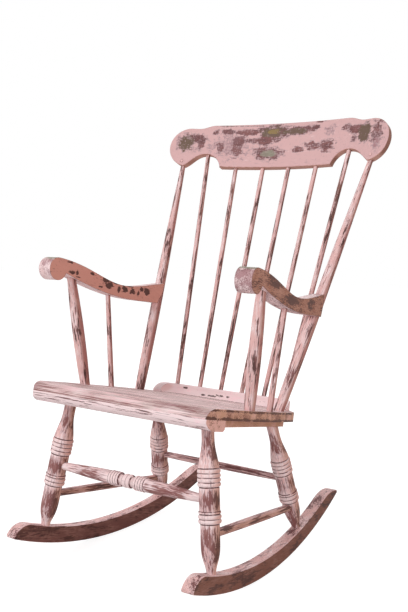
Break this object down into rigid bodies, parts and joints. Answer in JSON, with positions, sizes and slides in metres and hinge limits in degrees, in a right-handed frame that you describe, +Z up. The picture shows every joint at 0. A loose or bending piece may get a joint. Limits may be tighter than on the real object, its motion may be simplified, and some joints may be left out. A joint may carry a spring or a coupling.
{
  "type": "rocking chair",
  "caption": "Wooden rocking chair with a lobed crest rail over slim back spindles, scrolled arms, a rolled plank seat, bead-turned legs and two sawn rockers.",
  "frame": {"origin": "on the floor, under the middle of the line on which the two rockers touch it when the empty chair stands at rest", "axes": "+Z up, +X to the sitter's left as they sit (the right-hand side seen from the front), -Y the way the sitter faces"},
  "size_m": [0.6726, 0.8004, 1.0784],
  "materials": {
    "painted_wood": "matt pale pink paint rubbed through to dark red and brown wood",
    "dowel": "painted over with the rail",
    "screw_steel": "dull steel"
  },
  "bodies": {
    "root": {"arm_screws": "screw_steel", "back_spindle_1": "painted_wood", "back_spindle_2": "painted_wood", "back_spindle_3": "painted_wood", "back_spindle_4": "painted_wood", "back_spindle_5": "painted_wood", "back_spindle_6": "painted_wood", "crest_pins": "dowel", "crest_rail": "painted_wood", "front_stretcher": "painted_wood", "left_arm": "painted_wood", "left_arm_post": "painted_wood", "left_arm_spindle": "painted_wood", "left_back_post": "painted_wood", "left_front_leg": "painted_wood", "left_rear_leg": "painted_wood", "left_rocker": "painted_wood", "left_seat_cleat": "painted_wood", "left_side_stretcher": "painted_wood", "rear_stretcher": "painted_wood", "right_arm": "painted_wood", "right_arm_post": "painted_wood", "right_arm_spindle": "painted_wood", "right_back_post": "painted_wood", "right_front_leg": "painted_wood", "right_rear_leg": "painted_wood", "right_rocker": "painted_wood", "right_seat_cleat": "painted_wood", "right_side_stretcher": "painted_wood", "seat_back_rail": "painted_wood", "seat_front_roll": "painted_wood", "seat_plank": "painted_wood"}
  },
  "joints": []
}
